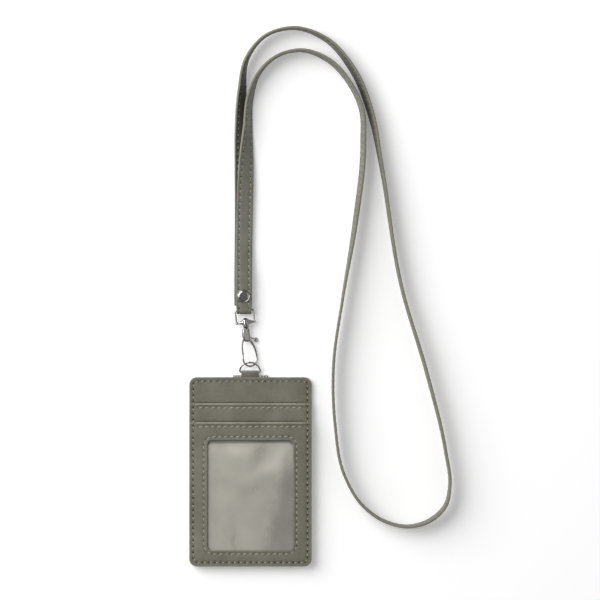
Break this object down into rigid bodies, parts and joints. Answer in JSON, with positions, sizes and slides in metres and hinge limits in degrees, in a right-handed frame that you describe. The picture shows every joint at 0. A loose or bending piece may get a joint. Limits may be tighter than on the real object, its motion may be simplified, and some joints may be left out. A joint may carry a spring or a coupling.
{
  "type": "id badge wallet",
  "caption": "Flat leather badge wallet with a clear window and card pockets, hung from a leather neck strap by a swivel trigger clasp on a D-ring.",
  "frame": {"origin": "centre of the wallet's back face, on the surface it lies on", "axes": "+Y towards the D-ring and clasp, +Z out of the wallet's front, +X to the right seen from the front"},
  "size_m": [0.1584, 0.3264, 0.0129],
  "materials": {
    "leather": "grained taupe leather",
    "leather_strap": "smooth taupe strap leather with lighter cut edges",
    "board": "plain pressed board",
    "lining": "pale woven lining",
    "film": "clear soft film",
    "thread": "pale twisted thread",
    "nickel": "polished nickel plate",
    "spring_steel": "plain spring wire"
  },
  "bodies": {
    "wallet": {"back_panel": "leather", "stiffener_board": "board", "top_panel": "leather", "slot_panel": "leather", "window_backing": "lining", "window_film": "film", "window_panel": "leather", "edge_stitching": "thread", "upper_slot_stitching": "thread", "lower_slot_stitching": "thread", "window_stitching": "thread", "tab_base": "leather", "d_ring_tab": "leather", "tab_stitching": "thread"},
    "ring": {"d_ring": "nickel"},
    "hook": {"hook_body": "nickel", "swivel_stud": "nickel", "trigger_pin": "nickel", "trigger_spring": "spring_steel"},
    "trigger": {"trigger_lever": "nickel"},
    "bail": {"swivel_bail": "nickel"},
    "lanyard": {"strap_fold": "leather_strap", "strap_end": "leather_strap", "rivet_cap": "nickel", "rivet_base": "nickel", "lanyard_strap": "leather_strap"}
  },
  "joints": [
    {"name": "d_ring_swing", "type": "hinge", "parent": "wallet", "child": "ring", "pos_m": [-0.0003, 0.0602, 0.0015], "axis": [1, 0, 0], "range_deg": [-90, 120]},
    {"name": "hook_swing", "type": "hinge", "parent": "ring", "child": "hook", "pos_m": [-0.0003, 0.06609, 0.00374], "axis": [1, 0, 0], "range_deg": [-5, 30]},
    {"name": "trigger_press", "type": "hinge", "parent": "hook", "child": "trigger", "pos_m": [-0.0026, 0.08228, 0.00371], "axis": [0.4351, 0.0534, 0.8988], "range_deg": [0, 20], "stiffness_Nm_per_rad": 0.02, "springref_deg": -17.19, "deforming": ["trigger_spring"]},
    {"name": "swivel_spin", "type": "hinge", "parent": "hook", "child": "bail", "pos_m": [-0.00295, 0.0903, 0.0034], "axis": [-0.1219, 0.9925, 0], "continuous": true},
    {"name": "strap_swing", "type": "hinge", "parent": "bail", "child": "lanyard", "pos_m": [-0.00386, 0.09774, 0.0034], "axis": [0.9925, 0.1219, 0], "range_deg": [-85, 85]}
  ]
}
